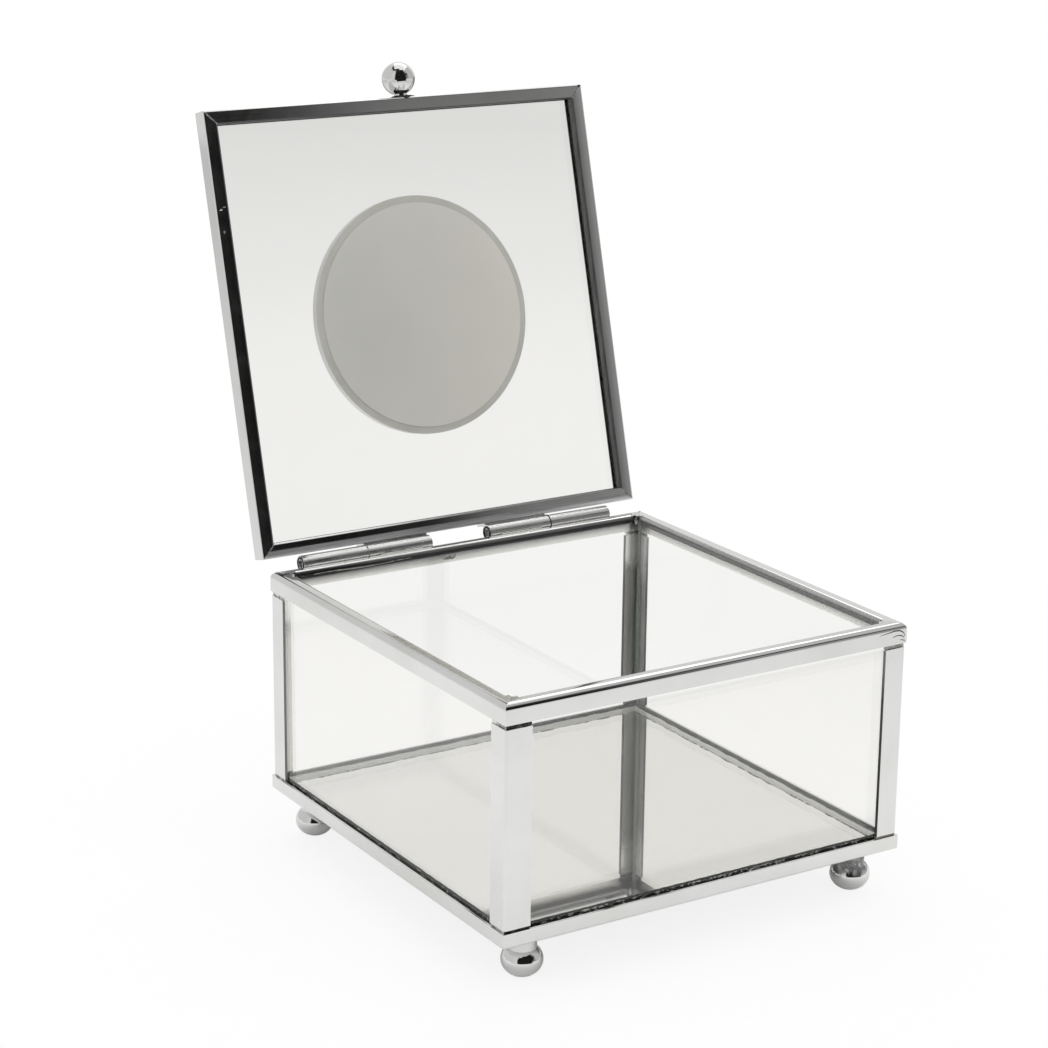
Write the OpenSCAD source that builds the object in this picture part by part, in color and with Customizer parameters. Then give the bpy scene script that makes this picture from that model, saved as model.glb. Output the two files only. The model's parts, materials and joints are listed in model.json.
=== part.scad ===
// Square trinket casket: clear glass walls in bright metal strip, a mirror floor, four ball feet
// and a hinged glass lid with a round medallion and a ball knob. The lid is drawn standing open.
// +X is the right of the box, -Y its front, +Z up. The origin is under the middle of the open
// box's outline, on the surface that the feet stand on.

/* [Box] */
// Width of the box over its top rails
box_w = 90; // [70:0.5:140]
// Depth of the box over its top rails
box_d = 90; // [70:0.5:140]
// Height from the underside of the base rails to the top of the rim
box_h = 46.5; // [30:0.5:90]
// Thickness of the glass walls
glass_t = 2; // [1.5:0.1:3]
// Thickness of the mirror that makes the floor
mirror_t = 2.4; // [1.5:0.1:4]
// Play around the edges of each piece of glass
glass_play = 0.1; // [0.05:0.05:0.3]

/* [Metal strip] */
// Thickness of the metal strip
strip_t = 0.5; // [0.3:0.05:0.8]
// Height of the top rails' outer flange
rail_h = 4; // [3:0.1:8]
// Rounding of the top rails' outer edge
rail_round = 1.3; // [0.6:0.1:1.4]
// Height of the top rails' lip inside the box
lip_h = 1.8; // [1.2:0.1:4]
// Rounding of the fold between a top rail and its lip
lip_round = 1.1; // [0.6:0.1:1.3]
// How far the lip stops short of the inner corners
lip_setback = 1; // [0.5:0.1:8]
// Length of each leg of the corner posts
post_leg = 4.9; // [3.5:0.1:9]
// Length of the front left post's leg on the front
front_left_leg = 5.6; // [3.5:0.1:9]
// Thickness of the corner posts
post_t = 0.55; // [0.4:0.05:1]
// How far the posts lie behind the faces of the top rails
post_step = 0.1; // [0.05:0.05:0.4]
// Gap between a post's top end and the top rail
post_top_gap = 0.8; // [0.2:0.1:2]
// Gap between a post's bottom end and the base rail
post_foot_gap = 0.4; // [0.2:0.1:2]

/* [Base] */
// Height of the base rails
base_h = 2.9; // [2.6:0.1:6]
// How far the base rails stand out past the top rails
base_out = 0.2; // [0:0.05:0.6]
// Width of the base rails' flange under the mirror
base_flange = 10; // [9.5:0.1:14]
// Rounding of the base rails' bottom edge
base_round = 0.4; // [0.2:0.05:0.45]

/* [Feet] */
// Height of the feet
foot_h = 9; // [6.5:0.1:14]
// Diameter of the feet's balls
foot_dia = 7.9; // [6:0.1:10]
// Height of the feet's balls before the flat is cut
foot_ball_h = 6.6; // [5:0.1:8]
// Diameter of the flat under each foot
foot_flat_dia = 3.2; // [2:0.1:4]
// Diameter of the feet's necks
foot_neck_dia = 5.5; // [3:0.1:6]
// Width of the flare where a neck meets the base rail
foot_flare = 0.4; // [0.1:0.1:1]
// Distance from the outside of the box to the feet's centres
foot_inset = 6.2; // [5.5:0.1:9]
// How far the front left foot has slipped to the right
foot_slip = 1.6; // [0:0.1:2.5]

/* [Lid] */
// Depth of the lid from its hinged edge to its front edge
lid_d = 90.5; // [70:0.5:141]
// Thickness of the lid's frame
lid_t = 4.1; // [3.6:0.1:8]
// Width of the lid frame's face
lid_face = 2.9; // [2.2:0.1:8]
// Rounding of the lid frame's edges
lid_round = 0.4; // [0.2:0.05:0.45]
// Thickness of the lid's glass
lid_glass_t = 2; // [1.5:0.1:3]
// Thickness of the hem on the lid frame's inner side
lid_hem = 1.5; // [0.5:0.1:3]
// Gap between the closed lid and the rim
lid_gap = 0.25; // [0.15:0.05:1]
// How far the lid opens
lid_open = 105; // [60:1:110]

/* [Medallion] */
// Diameter of the medallion
disc_dia = 50; // [30:0.5:60]
// Thickness of the medallion's rim
disc_t = 1.6; // [1:0.1:4]
// Width of the medallion's raised rim
disc_rim_w = 1.4; // [0.8:0.1:3]
// How far the medallion's field lies below its rim
disc_field_drop = 0.4; // [0.1:0.05:0.6]
// Diameter of the adhesive pad under the medallion
pad_dia = 47; // [20:0.5:48]
// Thickness of the adhesive pad
pad_t = 0.3; // [0.1:0.05:1]
// How far the medallion sits to the right of the lid's middle
disc_slip = 0.6; // [0:0.1:3]

/* [Knob] */
// Diameter of the lid's ball knob
knob_dia = 6.9; // [5:0.1:10]
// Height of the ball's centre above the edge of the lid
knob_reach = 4; // [3.6:0.1:8]
// Diameter of the knob's neck
knob_neck_dia = 2.6; // [1.6:0.1:3]
// Diameter of the pip that plugs the knob into the lid's frame
knob_pip_dia = 1.6; // [1:0.1:1.6]
// Clearance around the knob's pip, on the radius
pip_play = 0.05; // [0.02:0.01:0.1]
// How far the knob sits to the right of the lid's middle
knob_slip = 1.4; // [0:0.1:3]

/* [Hinges] */
// Length of each hinge
hinge_len = 30; // [20:0.5:30]
// Distance from the middle of the box to each hinge's middle
hinge_x = 22.1; // [18:0.1:23]
// Outer diameter of the hinge barrels
barrel_dia = 3.4; // [3:0.1:4]
// Gap between the barrels and the faces beside them
barrel_gap = 0.3; // [0.3:0.05:0.8]
// How far the hinge axis lies below the rim
axis_drop = 0.2; // [0:0.05:0.5]
// Diameter of the hinge pins
pin_dia = 1.5; // [1:0.1:1.6]
// Clearance around the pins, on the radius
pin_play = 0.04; // [0.02:0.01:0.08]
// How far the pins' ends lie inside the barrels
pin_inset = 1.2; // [0.5:0.1:3]
// Gap between two knuckles on one pin
knuckle_gap = 0.15; // [0.1:0.05:0.5]
// Thickness of the hinge leaves
leaf_t = 0.7; // [0.5:0.05:0.9]
// Reach of the leaves from the hinge axis
leaf_reach = 3.7; // [3:0.1:4.2]
// Height of the heels on the lid's knuckles
heel_h = 1.1; // [0.6:0.1:1.2]
// Length of the heels along the hinge
heel_len = 10; // [4:0.5:12]
// Gap between the lid's heels and the back rail when the lid stands open
heel_gap = 0.05; // [0.05:0.01:0.2]

/* [Hidden] */
silver = "#d9d9d6";
bright = "#ececea";
steel = "#b4b4b0";
glass_tint = [0.85, 0.9, 0.88, 0.35];
mirror_tint = "#dfe2e0";
disc_grey = "#b0b0aa";
pad_grey = "#c9c7bf";
// Overlap of a cutting tool past the face that it cuts
past = 1;

// Levels of the box, from the floor that it stands on
base_z = foot_h;
rim_z = base_z + box_h;
mirror_z = base_z + strip_t;
mirror_top = mirror_z + mirror_t;
wall_z = mirror_z;
post_z = base_z + base_h + post_foot_gap;
post_top = rim_z - rail_h - post_top_gap;

// Steps inwards from the faces of the top rails
wall_in = post_step + post_t;
wall_inner_in = wall_in + glass_t;
web_w = wall_inner_in + glass_play + strip_t;
mirror_in = wall_inner_in + glass_play;

// How far below the rim the inside of a bend of radius r has come, at run in from the bend's start
function bend_drop(r, run) = r - sqrt(max(0, pow(r - strip_t, 2) - pow(max(0, r - run), 2)));

// The walls end below both bends of the rails that cover them
wall_drop = max(bend_drop(rail_round, wall_in), bend_drop(lip_round, web_w - wall_inner_in));
wall_top = rim_z - wall_drop - glass_play;

// Hinge axis, and the closed lid's inner face measured from it
axis_off = barrel_dia / 2 + barrel_gap;
axis_y = box_d / 2 + axis_off;
axis_z = rim_z - axis_drop;
lid_lift = axis_drop + lid_gap;
barrel_r = barrel_dia / 2;
bore_r = pin_dia / 2 + pin_play;
knuckle_len = (hinge_len - knuckle_gap) / 2;

// Lid, lying closed: its underside is at lid_lift over the axis
lid_glass_in = strip_t + glass_play;
lid_glass_z = lid_lift + lid_hem;
pad_z = lid_glass_z + lid_glass_t;
disc_z = pad_z + pad_t;
lid_mid_y = -axis_off - lid_d / 2;

// The open lid's furthest point back is the knob, and the base rail's face is furthest forward
knob_back = (axis_off + lid_d + knob_reach) * -cos(lid_open)
    + (lid_lift + lid_t / 2) * sin(lid_open) + knob_dia / 2;
back_y = axis_y + knob_back;
front_y = -box_d / 2 - base_out;
centre_y = (back_y + front_y) / 2;

// Ball foot: neck, flattened ball and the flat that it stands on
ball_rx = foot_dia / 2;
ball_rz = foot_ball_h / 2;
ball_flat_angle = acos(foot_flat_dia / foot_dia);
ball_z = ball_rz * sin(ball_flat_angle);
neck_r = foot_neck_dia / 2;
neck_angle = acos(neck_r / ball_rx);
ball_steps = 28;

// Everything on the box stands over the middle of the open outline
module on_box() translate([0, -centre_y, 0]) children();

// Everything on the lid is drawn lying closed about the hinge axis, then swung open
module on_lid() on_box() translate([0, axis_y, axis_z]) rotate([-lid_open, 0, 0]) children();

// Keeps the part of a rail between the two 45 degree mitres at its ends.
// The rail lies along X from -len / 2 to len / 2, with its outer face on y = 0 and its inside at +Y.
module mitred(len, w, z0, z1) {
    intersection() {
        children();
        translate([0, 0, z0 - past])
            linear_extrude(z1 - z0 + 2 * past)
                polygon([[-len / 2, 0], [len / 2, 0], [len / 2 - w, w], [-len / 2 + w, w]]);
    }
}

// Lays a rail along one side of the box: 0 front, 1 right, 2 back, 3 left
module to_side(side, w, d) {
    off = (side % 2 == 0) ? d / 2 : w / 2;
    rotate([0, 0, 90 * side]) translate([0, -off, 0]) children();
}

// Extrudes a profile drawn as [inwards, up] along X, between -len / 2 and len / 2
module along_x(len) {
    translate([-len / 2, 0, 0])
        rotate([90, 0, 90])
            linear_extrude(len)
                children();
}

// Flat strip standing on its edge, with both bottom corners rounded
module round_ended(len, h, t) {
    rotate([90, 0, 0])
        linear_extrude(t)
            union() {
                translate([-len / 2, h / 2]) square([len, h / 2]);
                translate([-len / 2 + h, 0]) square([len - 2 * h, h]);
                intersection() {
                    translate([-len / 2, 0]) square([len, h]);
                    union() {
                        translate([-len / 2 + h, h]) circle(r = h, $fn = 48);
                        translate([len / 2 - h, h]) circle(r = h, $fn = 48);
                    }
                }
            }
}

// Section of a top rail: rounded outer edge, web over the glass, outer flange
module top_rail_section() {
    difference() {
        union() {
            square([web_w, rail_h - rail_round]);
            translate([rail_round, rail_h - rail_round]) square([web_w - rail_round, rail_round]);
            intersection() {
                translate([0, rail_h - rail_round]) square([rail_round, rail_round]);
                translate([rail_round, rail_h - rail_round]) circle(r = rail_round, $fn = 48);
            }
        }
        translate([strip_t, -past]) square([web_w, rail_h - rail_round + past]);
        translate([rail_round, -past]) square([web_w, rail_h - strip_t + past]);
        intersection() {
            translate([strip_t, rail_h - rail_round - past]) square([rail_round, rail_round + past]);
            translate([rail_round, rail_h - rail_round]) circle(r = rail_round - strip_t, $fn = 48);
        }
    }
}

// Section of a lip: the fold at the web's inner edge and the strip that hangs from it
module lip_section() {
    fold_in = web_w - lip_round;
    fold_z = rail_h - lip_round;
    difference() {
        union() {
            translate([fold_in, rail_h - lip_h]) square([lip_round, lip_h - lip_round]);
            intersection() {
                translate([fold_in, fold_z]) square([lip_round, lip_round]);
                translate([fold_in, fold_z]) circle(r = lip_round, $fn = 48);
            }
        }
        translate([fold_in, fold_z]) circle(r = lip_round - strip_t, $fn = 48);
        translate([fold_in - past, rail_h - lip_h - past])
            square([lip_round - strip_t + past, lip_h - lip_round + past]);
    }
}

module top_rail(side) {
    len = (side % 2 == 0) ? box_w : box_d;
    lip_len = len - 2 * web_w - 2 * lip_setback;
    color(silver)
        on_box()
            translate([0, 0, rim_z - rail_h])
                to_side(side, box_w, box_d)
                    union() {
                        difference() {
                            mitred(len, web_w, 0, rail_h)
                                along_x(len) top_rail_section();
                            translate([-lip_len / 2, web_w - lip_round, rail_h - strip_t - past])
                                cube([lip_len, lip_round + past, strip_t + 2 * past]);
                        }
                        intersection() {
                            along_x(lip_len) lip_section();
                            translate([0, web_w + past, rail_h - lip_h])
                                round_ended(lip_len, lip_h, lip_round + 2 * past);
                        }
                    }
}

// L-shaped post outside the corner of the glass, with a softly rounded outer edge.
// sx and sy say which corner; leg_x runs along the front or back, leg_y along the side.
module corner_post(sx, sy, leg_x, leg_y) {
    post_round = post_t;
    color(bright)
        on_box()
            translate([sx * (box_w / 2 - post_step), sy * (box_d / 2 - post_step), post_z])
                mirror([sx > 0 ? 1 : 0, 0, 0])
                    mirror([0, sy > 0 ? 1 : 0, 0])
                        linear_extrude(post_top - post_z)
                            difference() {
                                union() {
                                    translate([post_round, 0]) square([leg_x - post_round, leg_y]);
                                    translate([0, post_round]) square([leg_x, leg_y - post_round]);
                                    translate([post_round, post_round])
                                        circle(r = post_round, $fn = 48);
                                }
                                translate([post_t, post_t]) square([leg_x, leg_y]);
                            }
}

// Angle strip around the foot of the box, with its flange under the glass and the mirror
module base_rail(side) {
    w = box_w + 2 * base_out;
    d = box_d + 2 * base_out;
    len = (side % 2 == 0) ? w : d;
    color(silver)
        on_box()
            translate([0, 0, base_z])
                to_side(side, w, d)
                    mitred(len, base_flange, 0, base_h)
                        along_x(len)
                            difference() {
                                union() {
                                    translate([base_round, 0]) square([base_flange, base_round]);
                                    translate([0, base_round])
                                        square([base_flange, base_h - base_round]);
                                    translate([base_round, base_round])
                                        circle(r = base_round, $fn = 48);
                                }
                                translate([strip_t, strip_t]) square([base_flange + past, base_h]);
                            }
}

// Glass wall; the front and back panes cover the ends of the side panes
module wall_glass(side) {
    len = (side % 2 == 0) ? box_w - 2 * wall_in : box_d - 2 * wall_inner_in - 2 * glass_play;
    color(glass_tint)
        on_box()
            to_side(side, box_w, box_d)
                translate([-len / 2, wall_in, wall_z])
                    cube([len, glass_t, wall_top - wall_z]);
}

module mirror_floor() {
    w = box_w - 2 * mirror_in;
    d = box_d - 2 * mirror_in;
    color(mirror_tint)
        on_box()
            translate([-w / 2, -d / 2, mirror_z])
                cube([w, d, mirror_t]);
}

// Foot turned in one piece: flat, flattened ball, waisted neck and flare
module foot(sx, sy, slip) {
    neck_z = ball_z + ball_rz * sin(neck_angle);
    flare_z = foot_h - foot_flare;
    sweep = ball_flat_angle + neck_angle;
    ball = [for (i = [0:ball_steps])
        let (a = -ball_flat_angle + sweep * i / ball_steps)
        [ball_rx * cos(a), ball_z + ball_rz * sin(a)]];
    flare = [for (a = [0:15:90])
        [neck_r + foot_flare * (1 - cos(a)), flare_z + foot_flare * sin(a)]];
    color(bright)
        on_box()
            translate([sx * (box_w / 2 - foot_inset) + slip, sy * (box_d / 2 - foot_inset), 0])
                rotate_extrude($fn = 64)
                    polygon(concat([[0, 0]], ball, flare, [[0, foot_h]]));
}

// Each hinge's outer knuckle belongs to the box, and its inner one to the lid
function box_knuckle_x(sx) = sx * (hinge_x + (knuckle_gap + knuckle_len) / 2) - knuckle_len / 2;
function lid_knuckle_x(sx) = sx * (hinge_x - (knuckle_gap + knuckle_len) / 2) - knuckle_len / 2;

// Round bar along X from x0
module bar(x0, len, r) {
    translate([x0, 0, 0])
        rotate([0, 90, 0])
            cylinder(h = len, r = r, $fn = 64);
}

module hinge_box_leaf(sx) {
    x0 = box_knuckle_x(sx);
    color(steel)
        on_box()
            translate([0, axis_y, axis_z])
                difference() {
                    union() {
                        bar(x0, knuckle_len, barrel_r);
                        translate([x0, -axis_off, -leaf_reach])
                            cube([knuckle_len, leaf_t, leaf_reach - barrel_gap]);
                    }
                    bar(x0 - past, knuckle_len + 2 * past, bore_r);
                }
}

// The heel is the block beside the barrel that meets the back rail and stops the lid
module hinge_lid_leaf(sx) {
    x0 = lid_knuckle_x(sx);
    heel_reach = axis_off - heel_gap;
    heel_bite = 0.15;
    color(steel)
        on_lid()
            difference() {
                union() {
                    bar(x0, knuckle_len, barrel_r);
                    translate([x0, -axis_off, lid_lift])
                        cube([knuckle_len, leaf_t, leaf_reach - lid_lift]);
                    rotate([lid_open, 0, 0])
                        translate([x0 + (knuckle_len - heel_len) / 2, -heel_reach, -heel_h])
                            cube([heel_len, heel_reach - bore_r - heel_bite, heel_h]);
                }
                bar(x0 - past, knuckle_len + 2 * past, bore_r);
            }
}

module hinge_pin(sx) {
    color(steel)
        on_box()
            translate([0, axis_y, axis_z])
                bar(sx * hinge_x - hinge_len / 2 + pin_inset, hinge_len - 2 * pin_inset, pin_dia / 2);
}

// Channel around the lid's glass: outer web, thin top flange and a thicker inner hem
module lid_rail_section() {
    difference() {
        union() {
            translate([lid_round, 0]) square([lid_face - 2 * lid_round, lid_t]);
            translate([0, lid_round]) square([lid_face, lid_t - 2 * lid_round]);
            for (x = [lid_round, lid_face - lid_round])
                for (z = [lid_round, lid_t - lid_round])
                    translate([x, z]) circle(r = lid_round, $fn = 48);
        }
        translate([strip_t, lid_hem]) square([lid_face, lid_glass_t + glass_play]);
    }
}

module lid_rail(side) {
    len = (side % 2 == 0) ? box_w : lid_d;
    color(silver)
        on_lid()
            translate([0, lid_mid_y, lid_lift])
                to_side(side, box_w, lid_d)
                    difference() {
                        mitred(len, lid_face, 0, lid_t)
                            along_x(len) lid_rail_section();
                        if (side == 0)
                            translate([knob_slip, -past, lid_t / 2])
                                rotate([-90, 0, 0])
                                    cylinder(h = strip_t + past, r = knob_pip_dia / 2 + pip_play, $fn = 32);
                    }
}

module lid_glass() {
    w = box_w - 2 * lid_glass_in;
    d = lid_d - 2 * lid_glass_in;
    color(glass_tint)
        on_lid()
            translate([-w / 2, lid_mid_y - d / 2, lid_glass_z])
                cube([w, d, lid_glass_t]);
}

module medallion_pad() {
    color(pad_grey)
        on_lid()
            translate([disc_slip, lid_mid_y, pad_z])
                cylinder(h = pad_t, r = pad_dia / 2, $fn = 96);
}

module medallion() {
    field_r = disc_dia / 2 - disc_rim_w;
    color(disc_grey)
        on_lid()
            translate([disc_slip, lid_mid_y, disc_z])
                difference() {
                    cylinder(h = disc_t, r = disc_dia / 2, $fn = 96);
                    translate([0, 0, disc_t - disc_field_drop])
                        cylinder(h = disc_t, r = field_r, $fn = 96);
                }
}

// Ball, short neck and the pip that plugs into the front rail, turned about their own axis
module lid_knob() {
    knob_r = knob_dia / 2;
    stem_r = knob_neck_dia / 2;
    meet = asin(stem_r / knob_r);
    ball = [for (i = [0:24])
        let (a = -90 + meet + (180 - meet) * i / 24)
        [knob_r * cos(a), knob_reach + knob_r * sin(a)]];
    color(bright)
        on_lid()
            translate([knob_slip, -axis_off - lid_d, lid_lift + lid_t / 2])
                rotate([90, 0, 0])
                    union() {
                        rotate_extrude($fn = 64)
                            polygon(concat([[0, 0], [stem_r, 0]], ball));
                        translate([0, 0, -strip_t])
                            cylinder(h = strip_t + past / 2, r = knob_pip_dia / 2, $fn = 32);
                    }
}

top_rail(0);  // top_rail_front
top_rail(1);  // top_rail_right
top_rail(2);  // top_rail_back
top_rail(3);  // top_rail_left
corner_post(-1, -1, front_left_leg, post_leg);  // corner_post_front_left
corner_post(1, -1, post_leg, post_leg);  // corner_post_front_right
corner_post(-1, 1, post_leg, post_leg);  // corner_post_back_left
corner_post(1, 1, post_leg, post_leg);  // corner_post_back_right
base_rail(0);  // base_rail_front
base_rail(1);  // base_rail_right
base_rail(2);  // base_rail_back
base_rail(3);  // base_rail_left
wall_glass(0);  // glass_front
wall_glass(1);  // glass_right
wall_glass(2);  // glass_back
wall_glass(3);  // glass_left
mirror_floor();
foot(-1, -1, foot_slip);  // foot_front_left
foot(1, -1, 0);  // foot_front_right
foot(-1, 1, 0);  // foot_back_left
foot(1, 1, 0);  // foot_back_right
hinge_box_leaf(-1);  // hinge_left_box_leaf
hinge_box_leaf(1);  // hinge_right_box_leaf
hinge_pin(-1);  // hinge_left_pin
hinge_pin(1);  // hinge_right_pin
hinge_lid_leaf(-1);  // hinge_left_lid_leaf
hinge_lid_leaf(1);  // hinge_right_lid_leaf
lid_rail(0);  // lid_rail_front
lid_rail(1);  // lid_rail_right
lid_rail(2);  // lid_rail_back
lid_rail(3);  // lid_rail_left
lid_glass();
medallion();
medallion_pad();
lid_knob();
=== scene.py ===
import json
import math
import random

import bmesh
import bpy
from mathutils import Matrix, Vector


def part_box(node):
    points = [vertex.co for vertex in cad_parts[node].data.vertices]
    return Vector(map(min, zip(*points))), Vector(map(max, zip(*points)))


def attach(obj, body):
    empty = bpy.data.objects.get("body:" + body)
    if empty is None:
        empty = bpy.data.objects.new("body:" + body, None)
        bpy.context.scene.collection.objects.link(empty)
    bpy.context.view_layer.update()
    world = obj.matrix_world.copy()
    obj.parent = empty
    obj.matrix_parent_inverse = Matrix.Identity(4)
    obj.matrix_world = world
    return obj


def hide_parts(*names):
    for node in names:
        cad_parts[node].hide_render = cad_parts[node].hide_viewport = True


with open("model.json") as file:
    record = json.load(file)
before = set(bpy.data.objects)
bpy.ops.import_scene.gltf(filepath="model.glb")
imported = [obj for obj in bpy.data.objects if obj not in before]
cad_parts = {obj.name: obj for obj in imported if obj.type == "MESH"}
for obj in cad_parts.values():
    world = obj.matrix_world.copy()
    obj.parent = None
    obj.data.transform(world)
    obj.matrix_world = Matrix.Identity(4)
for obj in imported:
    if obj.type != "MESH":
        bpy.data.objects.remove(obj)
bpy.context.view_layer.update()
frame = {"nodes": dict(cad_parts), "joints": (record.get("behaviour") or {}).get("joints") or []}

MM = 0.001
X, Y, Z = Vector((1, 0, 0)), Vector((0, 1, 0)), Vector((0, 0, 1))
CORNERS = {"front_left": (-1, -1), "front_right": (1, -1), "back_left": (-1, 1), "back_right": (1, 1)}

# Camera, as solved from the photograph
CAMERA_AT = Vector((-281.93, -442.87, 220.54)) * MM
CAMERA_YAW = 0.5620
CAMERA_PITCH = 0.2861
CAMERA_ROLL = 0.0107
CAMERA_LENS = 94.27
SENSOR = 36.0
CLIP_START = 0.01

# Studio in reflections: directions are degrees from -Y towards +X, and degrees above the horizon
DARK = 0.012
SIDE_TONES = [
    (-180, 0.70), (-90, 0.68), (-58, 0.78), (-52, DARK), (22, DARK), (27, 0.17), (31, 0.18), (36, 0.34),
    (44, 0.34), (52, 0.60), (62, 0.58), (98, 0.52), (112, 0.76), (125, 0.83), (170, 0.83), (180, 0.70),
]
CEILING = 0.03
CEILING_RISE = (54, 60)
SOFT_LIGHT = 0.85
FAR_FLOOR = 0.80
HORIZON_BLEND = -0.03
# Darker stretch of the studio, right of the screen, in azimuth and in height
SHADE_SIDES = (24, 30, 44, 50)
SHADE_RISE = (18, 24, 33, 39)
SHADE_TONE = 0.055
# Tone of the studio where it is mirrored through glass
ROOM_TONE = 0.79

# Dark screen beside the camera, seen in the metal alone; its right edge is soft
SCREEN_Y = -450 * MM
SCREEN_LEFT = -655 * MM
SCREEN_SOLID = 225 * MM
SCREEN_RIGHT = 300 * MM
SCREEN_LOW = 70 * MM
SCREEN_HIGH = 1200 * MM

# Backdrop as glass shows it: tone of the floor by distance from the box, and of what lies past it
FLOOR_RADIUS = 1.0
FLOOR_WHITE = 0.97
FLOOR_TONES = [(0.08, 0.93), (0.15, 0.90), (0.30, 0.91), (0.43, 0.90), (0.60, 0.84), (0.99, 0.75)]
BACKDROP_TONE = 0.74
# Tone of the floor by distance, as the metal mirrors it
MIRRORED_FLOOR = [(0.08, 0.93), (0.20, 0.88), (0.32, 0.82), (0.45, 0.775), (0.75, 0.65), (0.99, 0.63)]
# Darker stretch of the mirrored floor behind the box, to the right: in azimuth, X, Y and distance
DIM_SIDES = (85, 105, 172, 180)
DIM_X = (-0.05, 0.03)
DIM_Y = (0.05, 0.15)
DIM_AWAY = (0.15, 0.30)
DIM_TONE = 0.26
# Distance over which the box's soft shadow ends, and its share to the camera, in glass and in metal
SHADOW_ENDS = (0.09, 0.22)
SHADOW_SEEN = 0.16
SHADOW_IN_GLASS = 0.04
SHADOW_IN_METAL = 0.95

# Softbox over the box, level and in line with the camera
LAMP_HEIGHT = 0.75
LAMP_WIDTH = 1.07 * LAMP_HEIGHT
LAMP_LENGTH = 1.59 * LAMP_HEIGHT
LAMP_RIGHT = 0.165 * LAMP_HEIGHT
LAMP_BACK = 0.555 * LAMP_HEIGHT
LAMP_WATTS = 3.0

# Planes of the CAD model that the added pieces sit on
RIM_LOW, RAIL_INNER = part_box("top_rail_left")
RIM_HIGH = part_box("top_rail_right")[1]
PLATE_LOW, PLATE_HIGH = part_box("mirror_floor")
BASE_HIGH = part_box("base_rail_front")[1]
POST_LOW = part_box("corner_post_front_left")[0]
MIDDLE = (RIM_LOW + RIM_HIGH) / 2
RAIL_WIDTH = RAIL_INNER.x - RIM_LOW.x

# The strip's thickness, gaps that keep faces from coinciding, and the widths of rounded and ground edges
STRIP = 0.55 * MM
HAIR = 0.015 * MM
SLIT_GAP = 0.02 * MM
SAME_POINT = 0.001 * MM
CUT_EDGE = 0.1 * MM
ARRIS = 0.2 * MM
SHARP = math.radians(28)
NEARLY_FLAT = math.radians(1)

# The open lid: a plane of its own, measured from the hinge axis as when it lies closed
LID_JOINT = frame["joints"][0]
LID_AXIS = Vector(LID_JOINT["pos_m"])
LID_TURN = Matrix.Rotation(math.radians(-LID_JOINT["range_deg"][1]), 3, "X")
LID_FACE = 0.45 * MM
LID_NEAR = -2.0 * MM
LID_FAR = -92.5 * MM
LID_SIDE = 45.0 * MM
LID_FRAME = 2.9 * MM
LID_THICK = 4.1 * MM
LID_ALONG = LID_TURN @ Y
LID_INNER_SIDE = LID_TURN @ -Z
LID_MIDDLE = LID_AXIS + LID_ALONG * (LID_NEAR + LID_FAR) / 2

# Where the look of the metal changes: heights, then distances from the middle
HEAT = (58.7 * MM, 57.2 * MM)
HEAT_EDGE = (58.7 * MM, 58.45 * MM)
# Heights over which the rails' inner lips change tone, as painted shade, and over which the inside of the
# channel darkens towards the lip, as painted shade
LIP = (54.0 * MM, 53.6 * MM)
UNDER_LIP_PAINTED_SHADE = (51.6 * MM, 53.2 * MM)
FOOT_STAIN = (3.4 * MM, 4.8 * MM)
POST_FRESH = (45 * MM, 49 * MM)
POST_BRIGHT = (42 * MM, 50 * MM)
CHANNEL_DEPTH = 43.4 * MM
LEG_END = RIM_HIGH.x - 2.5 * MM
RIGHT_POST_EDGE = 40.2 * MM
# How squarely a face has to look one way to count as facing it
SQUARE_ON = 0.9

# Drawing lines of the plate: how far its noise is stretched along each axis
ALONG_X = (0.03, 1, 1)
ALONG_Y = (1, 0.03, 1)
ALONG_Z = (1, 1, 0.03)
EVEN = (1, 1, 1)
# Tone, lines, roughness and waviness of the balls' plate
BALL_PLATE = (0.76, EVEN, (0.04, 0.09), 0.0015 * MM)
# How the plate of the lid's rails darkens and brightens, as painted shade and highlight: along the top and
# bottom rails, and across the side rails
TOP_SHADING = [(0, 0.85), (0.2, 1.15), (0.5, 1.1), (0.75, 0.85), (1, 0.80)]
BOTTOM_SHADING = [(0, 1.0), (0.24, 0.45), (0.40, 0.20), (0.47, 0.35), (0.57, 0.75), (0.73, 1.0), (1, 1.0)]
SIDE_SHADING = [(0, 0.50), (0.35, 0.75), (0.7, 1.0), (1, 1.0)]
# Painted shade and light on the lid's turned hem: even and dark on the front and side rails, bright fading to
# dark along the hinged rail
HEM_PAINTED_SHADE = [(0, 0.11), (1, 0.11)]
HEM_PAINTED_LIGHT_AND_SHADE = [(0, 1.30), (0.24, 1.15), (0.42, 0.50), (0.6, 0.28), (1, 0.25)]


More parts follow.
